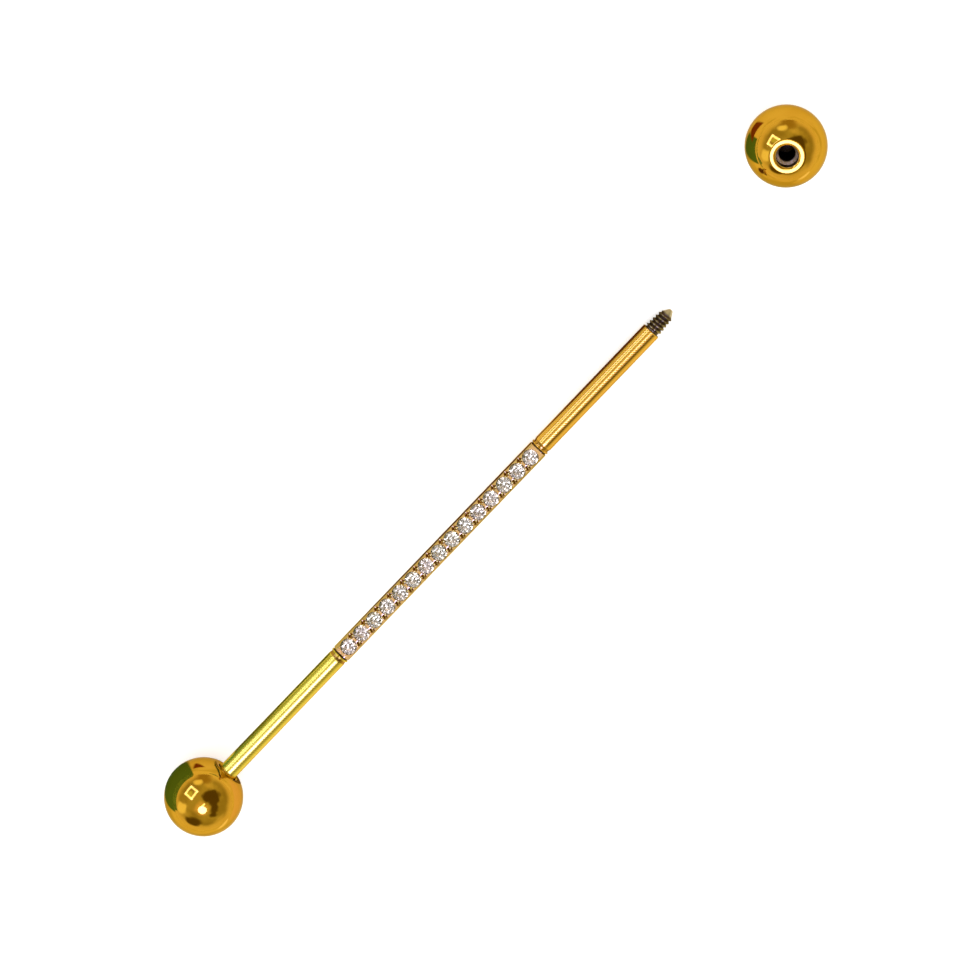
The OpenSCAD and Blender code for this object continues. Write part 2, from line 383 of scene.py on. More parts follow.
ROOT_R = 0.43
shoulder = np.array([[SHOULDER_X, ROOT_R], [SHOULDER_X, BAR_R - SHOULDER_CHAMFER],
                     [SHOULDER_X - SHOULDER_CHAMFER, BAR_R]])
upper_stretch = plain_stretch(SHOULDER_X - SHOULDER_CHAMFER, shoulder, ridge_b, -1)
print("plain stretches end at", round(ridge_a, 3), "and", round(ridge_b, 3),
      "mm from the fixed ball's centre")

# %% [markdown]
# ## The stone section
# Here the rod has a flat deck cut along its top, a round seat for each stone, and scallops cut away between
# the stones so that light gets in at their sides. A boolean would do it, but leaves ragged triangles that
# shade badly. Instead each stone owns one cell of the bar's skin, one stone pitch long and going all the way
# round. The cell is a polar grid: its first parameter turns round the stone, its second runs from the
# bottom of the seat up the wall, over the rim and out to the cell's border, where it meets its neighbour.

# %% Stone cells
SEAT_R = STONE_R + SEAT_GAP
SEAT_FLOOR = GIRDLE_Z - GIRDLE_H / 2 - SEAT_GAP
PAVILION_H = 0.43
SEAT_BOTTOM = GIRDLE_Z - GIRDLE_H / 2 - PAVILION_H - SEAT_GAP
SEAT_BOTTOM_R = 0.08
SEAT_RINGS = (0.3, 0.42, 0.47)
SCALLOP_R = 0.19
SCALLOP_DEPTH = 0.2
SCALLOP_Y = 0.36
SCALLOP_POWER = 1.2
BORDER_STEPS = 9
DECK_ROWS = 8
SIDE_ROWS = 12
SIDE_POWER = 1.3
HEADING_STRETCH = 1.2
LEAST_COSINE = 0.3
stone_places = SECTION_MIDDLE + (np.arange(STONES) - (STONES - 1) / 2) * PITCH
gap_places = (stone_places[1:] + stone_places[:-1]) / 2


def skin_radius(angle):
    """The radius at an angle from straight up: the lesser of the rod's and the deck's height over cosine."""
    top = np.cos(angle)
    deck = np.where(top > LEAST_COSINE, DECK_Z / np.maximum(top, LEAST_COSINE), SECTION_R)
    return np.minimum(SECTION_R, deck)


def scalloped(points):
    """Points lowered by depth times one minus r squared, to a power, with r from the middle of a dip.

    Each gap has two dips, one at each side of the deck.
    """
    gap = np.clip(np.round((points[..., 0] - gap_places[0]) / PITCH), 0, STONES - 2)
    x = points[..., 0] - gap_places[0] - gap * PITCH
    y = np.abs(points[..., 1]) - SCALLOP_Y
    dip = SCALLOP_DEPTH * np.clip(1 - (x**2 + y**2) / SCALLOP_R**2, 0, 1) ** SCALLOP_POWER
    lowered = points.copy()
    lowered[..., 2] -= np.where(points[..., 2] > 0, dip, 0)
    return lowered


# %% [markdown]
# The border of a cell is walked once round, and from each of its points a line goes in to the stone's rim.
# Where such a line crosses the edge of the deck, a row of points is set on that edge, so it stays crisp.

# %% One cell's grid
def cell_border():
    """The border of a cell, walked once round, as x from the stone and angle about the bar."""
    side = np.concatenate([under_columns[len(under_columns) // 2:] - 2 * math.pi, deck_columns,
                           under_columns[:len(under_columns) // 2 + 1]])
    side[0], side[-1] = -math.pi, math.pi
    across = np.linspace(PITCH / 2, -PITCH / 2, BORDER_STEPS)
    right = np.column_stack([np.full(len(side), PITCH / 2), side])
    bottom = np.column_stack([across, np.full(len(across), math.pi)])
    left = np.column_stack([np.full(len(side), -PITCH / 2), side[::-1]])
    top = np.column_stack([across[::-1], np.full(len(across), -math.pi)])
    return np.concatenate([right[:-1], bottom[:-1], left[:-1], top[:-1]])


def stone_cell(stone_x):
    """One cell's grid. Its rows are the seat's bottom, cone and wall, the rim, the deck and its edge, and
    the bar's side out to the border. Each row is a share of the way from the rim to the border.
    """
    border = cell_border()
    heading = np.arctan2(np.sin(border[:, 1] / 2) * HEADING_STRETCH, border[:, 0])
    aim = np.column_stack([np.cos(heading), np.sin(heading)])

    def ring(radius, z):
        """A row of points round the stone, at one radius."""
        return np.column_stack([radius * aim, np.broadcast_to(z, len(aim))])

    rows = [ring(0, SEAT_BOTTOM), ring(SEAT_BOTTOM_R, SEAT_BOTTOM)]
    for radius in SEAT_RINGS:
        z = SEAT_BOTTOM + (radius - SEAT_BOTTOM_R) / (SEAT_R - SEAT_BOTTOM_R) * (SEAT_FLOOR - SEAT_BOTTOM)
        rows.append(ring(radius, z))
    rim_y = SEAT_R * aim[:, 1]
    outer_z = np.minimum(DECK_Z, np.sqrt(SECTION_R**2 - rim_y**2))
    floor_z = np.minimum(SEAT_FLOOR, outer_z)
    rows += [ring(SEAT_R, floor_z), ring(SEAT_R, (floor_z + outer_z) / 2)]
    rim = np.column_stack([SEAT_R * aim[:, 0], np.arctan2(rim_y, outer_z)])
    rim_rows = len(rows)
    # A ray to the border crosses the deck's edge, or ends before it
    reach = border - rim
    with np.errstate(divide="ignore", invalid="ignore"):
        cross = (np.sign(border[:, 1]) * DECK_ANGLE - rim[:, 1]) / reach[:, 1]
    cross = np.where(np.abs(border[:, 1]) > DECK_ANGLE, np.clip(cross, 0, 1), 1)[:, None]
    edge = rim + cross * reach
    for share in np.linspace(0, 1, DECK_ROWS):
        rows.append(rim + share * (edge - rim))
    for share in np.linspace(0, 1, SIDE_ROWS)[1:] ** SIDE_POWER:
        rows.append(edge + share * (border - edge))
    skin = np.stack(rows[rim_rows:])
    radius = skin_radius(skin[..., 1])
    skin = np.stack([skin[..., 0], radius * np.sin(skin[..., 1]), radius * np.cos(skin[..., 1])], -1)
    grid = np.concatenate([np.stack(rows[:rim_rows]), skin])
    grid[..., 0] += stone_x
    return scalloped(grid)


cells = [stone_cell(x) for x in stone_places]
print("each of the", len(cells), "cells has", cells[0].shape[0], "rings of", cells[0].shape[1], "points")

# %% [markdown]
# ## The section's ends and the grains
# At each end of the row the deck runs into the groove beside the ridge, so a short strip joins the last cell
# to the plain stretch. Between the stones the setter raises small grains of metal and pushes them over the
# stones' edges: four round beads to a gap. Each is a whole small ball, sunk a little into the deck, because
# a sunk ball needs no cutting and its foot never shows.

# %% Ends and grains
GRAIN_R = 0.075
GRAIN_REACH = 0.53
GRAIN_ANGLE = math.radians(31)
GRAIN_LIFT = 0.01
GRAIN_Z = GIRDLE_Z + GIRDLE_H / 2 + GRAIN_LIFT + GRAIN_R
GRAIN_ROWS = 11
GRAIN_COLUMNS = 18


def end_strip(ridge_x, towards):
    """Rows of x and radius: the groove's bottom, the step to the deck, the groove's flank, the last cell."""
    deck = skin_radius(bar_columns)
    bottom_x = ridge_x + towards * (RIDGE_W + GROOVE_W) / 2
    cell_end = SECTION_MIDDLE - towards * STONES / 2 * PITCH
    rows = [(bottom_x, np.full_like(deck, GROOVE_R)), (bottom_x, np.minimum(deck, GROOVE_R)),
            (bottom_x + towards * GROOVE_W / 2, deck), (cell_end, deck)]
    turn = np.stack([np.sin(bar_columns), np.cos(bar_columns)], -1)
    return np.stack([np.column_stack([np.full_like(radius, x), radius[:, None] * turn])
                     for x, radius in rows])


def grain(x, y):
    """A bead of metal: a small ball whose rows run from pole to pole, centred above the deck."""
    profile = arc((0, 0), GRAIN_R, 180, 0, GRAIN_ROWS)
    angles = np.linspace(0, 2 * math.pi, GRAIN_COLUMNS, endpoint=False)
    return turned(profile, angles)[..., [1, 2, 0]] + np.array([x, y, GRAIN_Z])


grain_x = GRAIN_REACH * math.cos(GRAIN_ANGLE)
grain_y = GRAIN_REACH * math.sin(GRAIN_ANGLE)
grains = [grain(place + grain_x * side, grain_y * flank)
          for place in stone_places for side in (-1, 1) for flank in (-1, 1)
          if abs(place + side * PITCH / 2 - SECTION_MIDDLE) < (STONES - 1) / 2 * PITCH]
print(len(grains), "grains hold the stones")

# %% [markdown]
# ## The threaded tip, and the bar in one piece
# The bar ends in a bare screw thread with a short cone that helps it find the hole. Its radius is a function
# of place and angle, like the thread in the ball. Then all the grids become one mesh, because the real bar
# is one piece of metal, and each new surface takes the place of the construction's plain one.

# %% Threaded tip
TIP_COLUMNS = 96
JOIN_DEPTH = 0.01
NECK_LENGTH = 0.1
THREAD_LENGTH = 1.3
CREST_R = 0.55
THREAD_END_SCALE = 0.82
FADE_IN = 0.04
FADE_OUT = 0.06
CREST_GAIN = 1.35
ROOT_SHARE = 0.15
CONE_LENGTH = 0.37
CONE_END_R = 0.11
CONE_ROUNDING = 0.03


def threaded_tip():
    """Radius is root plus depth times a flattened triangle wave of x over pitch plus the turn.

    The whole screw tapers a little, and its crests fade in and out at its two ends.
    """
    start = SHOULDER_X + NECK_LENGTH
    x = np.arange(start, start + THREAD_LENGTH, THREAD_PITCH / TURN_STEPS)
    angles = np.linspace(0, 2 * math.pi, TIP_COLUMNS, endpoint=False)
    along = (x - start) / THREAD_LENGTH
    taper = 1 + (THREAD_END_SCALE - 1) * along
    wave = triangle_wave((x - start)[:, None] / THREAD_PITCH + angles / (2 * math.pi))
    run = np.clip(along / FADE_IN, 0, 1) * np.clip((1 - along) / FADE_OUT, 0, 1)
    height = np.clip(CREST_GAIN * wave - ROOT_SHARE, 0, 1) * run[:, None]
    crest = (CREST_R - ROOT_R) * taper[:, None] * height
    screw = turned(np.column_stack([x, ROOT_R * taper]), angles, crest)
    inside_x = SHOULDER_X - JOIN_DEPTH
    neck = turned(np.array([[inside_x, 0], [inside_x, ROOT_R], [start - JOIN_DEPTH, ROOT_R]]), angles)
    thread_end = start + THREAD_LENGTH
    cone_end = thread_end + CONE_LENGTH
    cone = turned(np.array([[thread_end, ROOT_R * THREAD_END_SCALE],
                            [cone_end - CONE_ROUNDING, CONE_END_R + CONE_ROUNDING],
                            [cone_end, CONE_END_R], [cone_end, 0]]), angles)
    return np.concatenate([neck, screw, cone])


shoulder_face = turned(np.array([[SHOULDER_X, 0], [SHOULDER_X, ROOT_R]]), bar_columns)
bar_grids = [lower_stretch, upper_stretch, *cells, end_strip(ridge_a, 1), end_strip(ridge_b, -1),
             shoulder_face, *grains, threaded_tip()]
bar = surface("bar_polished", [on_bar(grid) for grid in bar_grids])
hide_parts("bar")
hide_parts("fixed_ball")
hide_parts("loose_ball")
for piece in (bar, fixed_ball, loose_ball):
    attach(piece, "root")

# %% [markdown]
# ## Effects shared by the metals
# A polished piece is never perfectly smooth. The lathe and the polishing mop leave very fine lines round the
# axis, handling leaves hairline scratches, and the plating has slightly thin and thick places. Each effect
# is a node group with named inputs, so that every metal can place it with its own strength. A group is
# given the place of a point in millimetres, measured along and round the piece's own axis.

# %% Node group helpers
def group(name, inputs, outputs):
    """A new node group that is given a place and some numbers, with the sockets that it reads and writes."""
    tree = bpy.data.node_groups.new(name, "ShaderNodeTree")
    tree.interface.new_socket("Place", in_out="INPUT", socket_type="NodeSocketVector")
    for label, default in inputs.items():
        socket = tree.interface.new_socket(label, in_out="INPUT", socket_type="NodeSocketFloat")
        socket.default_value = default
    for label in outputs:
        tree.interface.new_socket(label, in_out="OUTPUT", socket_type="NodeSocketFloat")
    return tree, tree.nodes.new("NodeGroupInput").outputs, tree.nodes.new("NodeGroupOutput").inputs


def add(tree, kind, links=(), **values):
    """A node of one kind: values are its options, links pairs an input's name or number with what it gets."""
    node = tree.nodes.new("ShaderNode" + kind)
    for name, value in values.items():
        setattr(node, name, value)
    for name, value in links:
        if isinstance(value, bpy.types.NodeSocket):
            tree.links.new(value, node.inputs[name])
        else:
            node.inputs[name].default_value = value
    return node


def maths(tree, operation, *values):
    """The result of a Math node."""
    return add(tree, "Math", list(enumerate(values)), operation=operation).outputs[0]


def blend(tree, factor, first, second):
    """A colour between two, by a factor."""
    return add(tree, "Mix", [(0, factor), (6, first), (7, second)], data_type="RGBA").outputs[2]


def ramp(tree, value, low, high):
    """0 below low, 1 above high and eased between: three t squared less two t cubed, t from 0 to 1."""
    links = [(0, value), (1, low), (2, high), (3, 0.0), (4, 1.0)]
    return add(tree, "MapRange", links, interpolation_type="SMOOTHSTEP").outputs[0]


def both(tree, first, second):
    """Where two masks hold at once: the one times the other."""
    return maths(tree, "MULTIPLY", first, second)


def outside(tree, mask):
    """Where a mask doesn't hold: one minus the mask."""
    return maths(tree, "SUBTRACT", 1.0, mask)


def between(tree, value, low, high, soft):
    """1 between two limits and 0 outside them: a rise at the one times one minus a rise at the other."""
    return both(tree, ramp(tree, value, low - soft, low + soft),
                outside(tree, ramp(tree, value, high - soft, high + soft)))


def use(tree, group_tree, **inputs):
    """Places a node group in a material and returns its outputs."""
    return add(tree, "Group", inputs.items(), node_tree=group_tree).outputs


def noise(tree, place, size, detail, roughness=0.5):
    """Soft noise from 0 to 1, whose waves are about one over size long."""
    return add(tree, "TexNoise", [("Vector", place), ("Scale", size), ("Detail", detail),
                                  ("Roughness", roughness)]).outputs[0]


# %% [markdown]
# ## Polishing lines, scratches and thin plating
# Three groups are enough. The polishing lines are noise that is squeezed along the axis, with a faint
# diagonal hatch like that of a burnishing roller, whose rows are also given out as a mask. The scratches are
# the edges of stretched cells. The plating is broad noise, where the gold is a little thinner and darker.

# %% Polishing lines, scratches and thin plating
HATCH_PITCH = 0.19
HATCH_STARTS = 20
HATCH_EDGES = (-0.6, 0.9)
HAIRLINE_WIDTH = 0.02
SCRATCHED = (0.48, 0.62)
THINNED = (0.35, 0.7)


def make_polish_lines():
    """Noise fast along the axis, and a sine of place over pitch plus a number of starts times the turn."""
    tree, given, out = group("polish lines", {"Lines": 18.0, "Hatch": 0.0}, ["Height", "Rows"])
    x, y, z = add(tree, "SeparateXYZ", [(0, given["Place"])]).outputs
    fast = maths(tree, "MULTIPLY", x, given["Lines"])
    lines = noise(tree, add(tree, "CombineXYZ", [(0, fast), (1, y), (2, z)]).outputs[0], 1.0, 2.0, 0.6)
    turn = maths(tree, "MULTIPLY", maths(tree, "ARCTAN2", y, z), float(HATCH_STARTS))
    phase = maths(tree, "ADD", maths(tree, "MULTIPLY", x, 2 * math.pi / HATCH_PITCH), turn)
    wave = maths(tree, "SINE", phase)
    hatch = maths(tree, "MULTIPLY", wave, given["Hatch"])
    tree.links.new(maths(tree, "ADD", lines, hatch), out["Height"])
    tree.links.new(ramp(tree, wave, *HATCH_EDGES), out["Rows"])
    return tree


def make_scratches():
    """Thin edges between stretched cells, kept only in patches, which reads as hairlines."""
    tree, given, out = group("hairline scratches", {"Size": 1.0}, ["Mask"])
    bent = add(tree, "Mapping", [("Vector", given["Place"]), ("Rotation", (0.5, 0.4, 0.7)),
                                 ("Scale", (1.0, 0.16, 0.4))]).outputs[0]
    to_edge = add(tree, "TexVoronoi", [("Vector", bent), ("Scale", given["Size"])],
                  feature="DISTANCE_TO_EDGE").outputs[0]
    line = outside(tree, ramp(tree, to_edge, 0.0, HAIRLINE_WIDTH))
    patches = ramp(tree, noise(tree, given["Place"], 1.3, 1.0), *SCRATCHED)
    tree.links.new(both(tree, line, patches), out["Mask"])
    return tree


def make_plating():
    """Broad soft noise, eased between two limits, for places where the plating is thinner or has darkened."""
    tree, given, out = group("plating", {"Size": 0.5}, ["Mask"])
    broad = noise(tree, given["Place"], given["Size"], 3.0)
    tree.links.new(ramp(tree, broad, *THINNED), out["Mask"])
    return tree


polish_lines = make_polish_lines()
scratches = make_scratches()
plating = make_plating()
print("node groups:", [tree.name for tree in (polish_lines, scratches, plating)])

# %% [markdown]
# ## Gold plate
# The metal is steel with a thin yellow gold plate. A metal's colour in Blender is the Principled shader's
# base colour with Metallic at one: the reflections of the room take that tint, and Specular Tint pales it
# where the surface turns away. So the warm and dark zones of the finished picture come mostly from what the
# metal mirrors. A Mapping node of the Texture kind undoes a piece's place and turn, which gives millimetres
# along its axis. One function makes what all three metals share, and hands its nodes on for more layers.

# %% What the metals share
GOLD_RIM = (0.78, 0.70, 0.50, 1.0)
STEEL = (0.52, 0.41, 0.18, 1.0)
CONE_STEEL = (0.72, 0.61, 0.47, 1.0)
HAIRLINE_SIZE = 1.6
LINE_ROUGHNESS = 0.06
LEAST_ROUGHNESS = 0.055
LINE_HEIGHT = 0.5
BUMP_DEPTH = 0.0000012
SPOT_EDGES = (0.3, 0.6)


def new_material(name):
    """A material with a Principled shader, which keeps the plain values, and its node tree."""
    material = bpy.data.materials.new(name)
    material.use_nodes = True
    tree = material.node_tree
    return material, tree, tree.nodes["Principled BSDF"]


def own_place(tree, across, along, origin):
    """Object coordinates turned into millimetres in a piece's own frame."""
    turn = np.column_stack([along, np.cross(across, along), across])
    euler = mathutils.Matrix(turn.tolist()).to_euler("XYZ")
    place = add(tree, "TexCoord").outputs["Object"]
    mapping = add(tree, "Mapping", [("Vector", place), ("Location", origin.tolist()), ("Rotation", euler),
                                    ("Scale", (MM, MM, MM))], vector_type="TEXTURE")
    return mapping.outputs[0]


def from_axis(tree, first, second):
    """Distance from an axis, the root of the sum of the squares of two parts that cross it."""
    squares = [maths(tree, "MULTIPLY", part, part) for part in (first, second)]
    return maths(tree, "SQRT", maths(tree, "ADD", *squares))


def gold_plate(name, across, along, origin, hatch, lines_per_mm, line_depth):
    """Plated metal with turned lines and hairlines. It gives the nodes and masks that more layers need.

    Roughness is the least one plus a share of the lines, and height is half the lines less the hairlines.
    """
    material, tree, shader = new_material(name)
    place = own_place(tree, across, along, origin)
    lines, rows = use(tree, polish_lines, Place=place, Lines=lines_per_mm, Hatch=hatch)
    hairlines = use(tree, scratches, Place=place, Size=HAIRLINE_SIZE)[0]
    roughness = maths(tree, "ADD", maths(tree, "MULTIPLY", lines, LINE_ROUGHNESS), LEAST_ROUGHNESS)
    height = maths(tree, "SUBTRACT", maths(tree, "MULTIPLY", lines, LINE_HEIGHT), hairlines)
    bump = add(tree, "Bump", [("Height", height), ("Strength", line_depth), ("Distance", BUMP_DEPTH)])
    shader.inputs["Metallic"].default_value = 1.0
    shader.inputs["Specular Tint"].default_value = GOLD_RIM
    tree.links.new(bump.outputs[0], shader.inputs["Normal"])
    x, y, z = add(tree, "SeparateXYZ", [(0, place)]).outputs
    spots = ramp(tree, noise(tree, place, 4.0, 4.0), *SPOT_EDGES)
    return SimpleNamespace(material=material, tree=tree, shader=shader, place=place, x=x, y=y, z=z,
                           radius=from_axis(tree, y, z), spots=spots, rows=rows, roughness=roughness)


def finish_metal(plate, colour, roughness):
    """Links the last colour and roughness to the shader."""
    plate.tree.links.new(colour, plate.shader.inputs["Base Color"])
    plate.tree.links.new(roughness, plate.shader.inputs["Roughness"])
    print(plate.material.name, "has", len(plate.tree.nodes), "nodes")
    return plate.material


# %% [markdown]
# ## The bar's metal
# On the bar the lower stretch looks lemon and the upper one orange. The stone section gets a painted pale
# sheen for the setter's bright cuts and painted brown shade in its recesses. The grooves and the thread's
# roots get painted dark shade, and the tip is bare steel.
# The bar could be cut into pieces with a material each, but one material with masks leaves it whole, like
# the real one. X runs along the bar in millimetres and Z up through the stones, so each mask is a plain test.

# %% Colours of the stone section
# Painted light on the stone section: the shaded gold is painted shade, the pale deck tone is a painted sheen,
# the grains' pale tone is a painted highlight on their tops, and the brown is painted shade in the recesses.
SHADED_GOLD = (0.62, 0.42, 0.17, 1.0)
DECK_SHEEN_GOLD = (0.80, 0.54, 0.27, 1.0)
GRAIN_TOP_HIGHLIGHT = (0.96, 0.78, 0.36, 1.0)
RECESS_SHADE_BROWN = (0.36, 0.19, 0.04, 1.0)
MASK_EDGE = 0.03
SIDE_RISE = (0.1, 0.3)
DECK_RISE = (0.41, DECK_Z - 0.005)
GRAIN_RISE = (DECK_Z + 0.01, DECK_Z + 0.05)
RECESS_HEIGHTS = (0.1, 0.40)
RECESS_SIDES = (0.12, 0.46)


def section_colour(plate, section, colour):
    """Four layers on the stone section: painted shade on the sides, a deck spotted between painted shade and
    a painted pale sheen, painted highlights on the grains' tops, and painted shade in the recesses beside the
    stones.
    """
    tree = plate.tree
    colour = blend(tree, both(tree, section, ramp(tree, plate.z, *SIDE_RISE)), colour, SHADED_GOLD)
    spotted = blend(tree, plate.spots, SHADED_GOLD, DECK_SHEEN_GOLD)
    colour = blend(tree, both(tree, section, ramp(tree, plate.z, *DECK_RISE)), colour, spotted)
    colour = blend(tree, both(tree, section, ramp(tree, plate.z, *GRAIN_RISE)), colour, GRAIN_TOP_HIGHLIGHT)
    aside = maths(tree, "ABSOLUTE", plate.y)
    recess_shade = both(tree, between(tree, plate.z, *RECESS_HEIGHTS, MASK_EDGE),
                  between(tree, aside, *RECESS_SIDES, MASK_EDGE))
    return blend(tree, both(tree, section, recess_shade), colour, RECESS_SHADE_BROWN)


# %% [markdown]
# The two narrow grooves get painted dark shade, and the coves beside the ridges get a painted brown
# reflection, as if they mirrored themselves. Both are found by their place along the bar.

# %% Grooves and coves
# Painted dark shade for the grooves and the thread's roots, and a painted brown reflection for the coves.
PAINTED_GROOVE_SHADE = (0.10, 0.062, 0.035, 1.0)
GROOVE_SHADE_DEPTHS = (0.57, 0.62)
GROOVE_SHADE_HALF_WIDTH = GROOVE_W * 0.4
GROOVE_SHADE_EDGE = 0.015
COVE_REFLECTION_BROWN = (0.46, 0.24, 0.04, 1.0)
COVE_REACH = (0.07, 0.26)


def painted_groove_shade_and_cove_reflection(plate, colour):
    """Painted shade in two grooves, below a radius, and a painted brown reflection in two coves, each between
    two places along the bar.
    """
    tree = plate.tree
    for groove_x in (ridge_a + (RIDGE_W + GROOVE_W) / 2, ridge_b - (RIDGE_W + GROOVE_W) / 2):
        groove_shade = between(tree, plate.x, groove_x - GROOVE_SHADE_HALF_WIDTH, groove_x + GROOVE_SHADE_HALF_WIDTH, GROOVE_SHADE_EDGE)
        low = outside(tree, ramp(tree, plate.radius, *GROOVE_SHADE_DEPTHS))
        colour = blend(tree, both(tree, groove_shade, low), colour, PAINTED_GROOVE_SHADE)
    for ridge_x, outwards in ((ridge_a, -1), (ridge_b, 1)):
        cove_ends = sorted(ridge_x + outwards * reach for reach in COVE_REACH)
        colour = blend(tree, between(tree, plate.x, *cove_ends, MASK_EDGE), colour, COVE_REFLECTION_BROWN)
    return colour


# %% [markdown]
# The two tones of gold and the hatch come first, then the layers above, and last the steel of the tip. The
# plain stretches also get more roughness, because their mirror images are softer than those in the balls.

# %% The bar's metal
LEMON_GOLD = (0.82, 0.63, 0.075, 1.0)
ORANGE_GOLD = (0.86, 0.44, 0.05, 1.0)
HATCH_GOLD = (0.95, 0.66, 0.20, 1.0)
HATCH_SHARE = 0.12
HATCH_GROWTH = 0.30
STRETCH_EDGE = 0.1
BLUR = 0.18
BLUR_LOSS = 0.11
BARE_FROM = (SHOULDER_X - 0.02, SHOULDER_X + 0.01)
CONE_X = SHOULDER_X + NECK_LENGTH + THREAD_LENGTH
CONE_FROM = (CONE_X - 0.05, CONE_X + 0.1)
THREAD_RISE = (0.40, 0.54)
TIP_BLUR = 0.22


def bar_metal():
    """Gold in two tones with a hatch, the section's layers with their painted shade and sheen, and bare steel
    past the shoulder with painted shade in the thread's roots.

    The plain stretches get a softer mirror: their roughness grows by the blur less its loss up the bar.
    """
    plate = gold_plate("gold_on_bar", bar_up, bar_line, bar_origin, hatch=1.0, lines_per_mm=10.0,
                       line_depth=0.08)
    tree = plate.tree
    upper = ramp(tree, plate.x, ridge_a, ridge_b)
    colour = blend(tree, upper, LEMON_GOLD, ORANGE_GOLD)
    hatched = both(tree, plate.rows, maths(tree, "MULTIPLY_ADD", upper, HATCH_GROWTH, HATCH_SHARE))
    colour = blend(tree, hatched, colour, HATCH_GOLD)
    section = between(tree, plate.x, ridge_a + RIDGE_W, ridge_b - RIDGE_W, MASK_EDGE)
    colour = painted_groove_shade_and_cove_reflection(plate, section_colour(plate, section, colour))
    plain = outside(tree, between(tree, plate.x, ridge_a, ridge_b, STRETCH_EDGE))
    soft = maths(tree, "MULTIPLY_ADD", upper, -BLUR_LOSS, BLUR)
    roughness = maths(tree, "ADD", plate.roughness, both(tree, plain, soft))
    bare = ramp(tree, plate.x, *BARE_FROM)
    # Painted dark shade fills the thread's roots; only the crests, in patches, keep the steel's colour.
    unshaded_crests = both(tree, ramp(tree, plate.radius, *THREAD_RISE), plate.spots)
    cone = ramp(tree, plate.x, *CONE_FROM)
    steel = blend(tree, cone, blend(tree, unshaded_crests, PAINTED_GROOVE_SHADE, STEEL), CONE_STEEL)
    roughness = maths(tree, "ADD", roughness, maths(tree, "MULTIPLY", bare, TIP_BLUR))
    return finish_metal(plate, blend(tree, bare, colour, steel), roughness)


bar.data.materials.append(bar_metal())

# %% [markdown]
# ## The balls' metal
# A ball is plated all over, a little thinner in places, and its hole was cut or worn bare: dull steel in the
# counterbore, with painted shade, nearly black, below it. A test of the distance from the ball's own axis
# finds the hole, and a test along the axis keeps it off the back of the ball. Both balls share one function.

# %% The balls' metal
GOLD = (0.68, 0.36, 0.034, 1.0)
GOLD_DEEP = (0.57, 0.26, 0.016, 1.0)
# Painted shade, nearly black, deep in the hole.
DEEP_HOLE_SHADE = (0.02, 0.014, 0.01, 1.0)
PLATING_SIZE = 0.45
PLATING_SHARE = 0.4
FIXED_BARE_R = HOLE_R + 0.15
LOOSE_BARE_R = COUNTERBORE_R + 0.005
BARE_EDGE = 0.015
BACK_X = -BALL_R * 0.5
LEAD_IN_X = LAND_X - COUNTERBORE_DEPTH - LEAD_IN
MOUTH_FROM = (LEAD_IN_X - 0.02, LEAD_IN_X + 0.08)
HOLE_BLUR = 0.3


def ball_metal(name, across, along, origin, bare_r):
    """Gold plate outside, and bare steel inside the hole, with painted dark shade deeper in."""
    plate = gold_plate(name, across, along, origin, hatch=0.0, lines_per_mm=18.0, line_depth=0.35)
    tree = plate.tree
    thin = use(tree, plating, Place=plate.place, Size=PLATING_SIZE)[0]
    colour = blend(tree, maths(tree, "MULTIPLY", thin, PLATING_SHARE), GOLD, GOLD_DEEP)
    inside = outside(tree, ramp(tree, plate.radius, bare_r - BARE_EDGE, bare_r + BARE_EDGE))
    bare = both(tree, inside, ramp(tree, plate.x, BACK_X, BACK_X + 0.01))
    mouth = ramp(tree, plate.x, *MOUTH_FROM)
    steel = blend(tree, mouth, DEEP_HOLE_SHADE, blend(tree, plate.spots, STEEL, CONE_STEEL))
    roughness = maths(tree, "ADD", plate.roughness, maths(tree, "MULTIPLY", bare, HOLE_BLUR))
    return finish_metal(plate, blend(tree, bare, colour, steel), roughness)


fixed_ball.data.materials.append(
    ball_metal("gold_on_fixed_ball", bar_up, bar_line, bar_origin, FIXED_BARE_R))
loose_ball.data.materials.append(
    ball_metal("gold_on_loose_ball", loose_side, hole_line, loose_origin, LOOSE_BARE_R))

# %% [markdown]
# ## Clear stones
# The stones are cut crystals with a high refractive index. The construction already has their true facets, so
# they only need a glass material: all transmission, no roughness, and an index of about 2.15, which turns
# most light back out of the top. A slight tint from stone to stone comes from slow noise along the row, and a
# beige one near each rim is a painted reflection of the gold that a real stone picks up from its seat.

# %% Stones
STONE_INDEX = 2.15
COOL_CLEAR = (0.90, 0.95, 0.93, 1.0)
LAVENDER = (0.97, 0.91, 0.97, 1.0)
# The beige is a painted reflection of the seat's gold.
RIM_REFLECTION_BEIGE = (0.74, 0.58, 0.42, 1.0)
WARM_GLINT = (1.0, 0.76, 0.38, 1.0)
TINT_EDGES = (0.35, 0.65)
RIM_TINT_REACH = (0.24, 0.48)


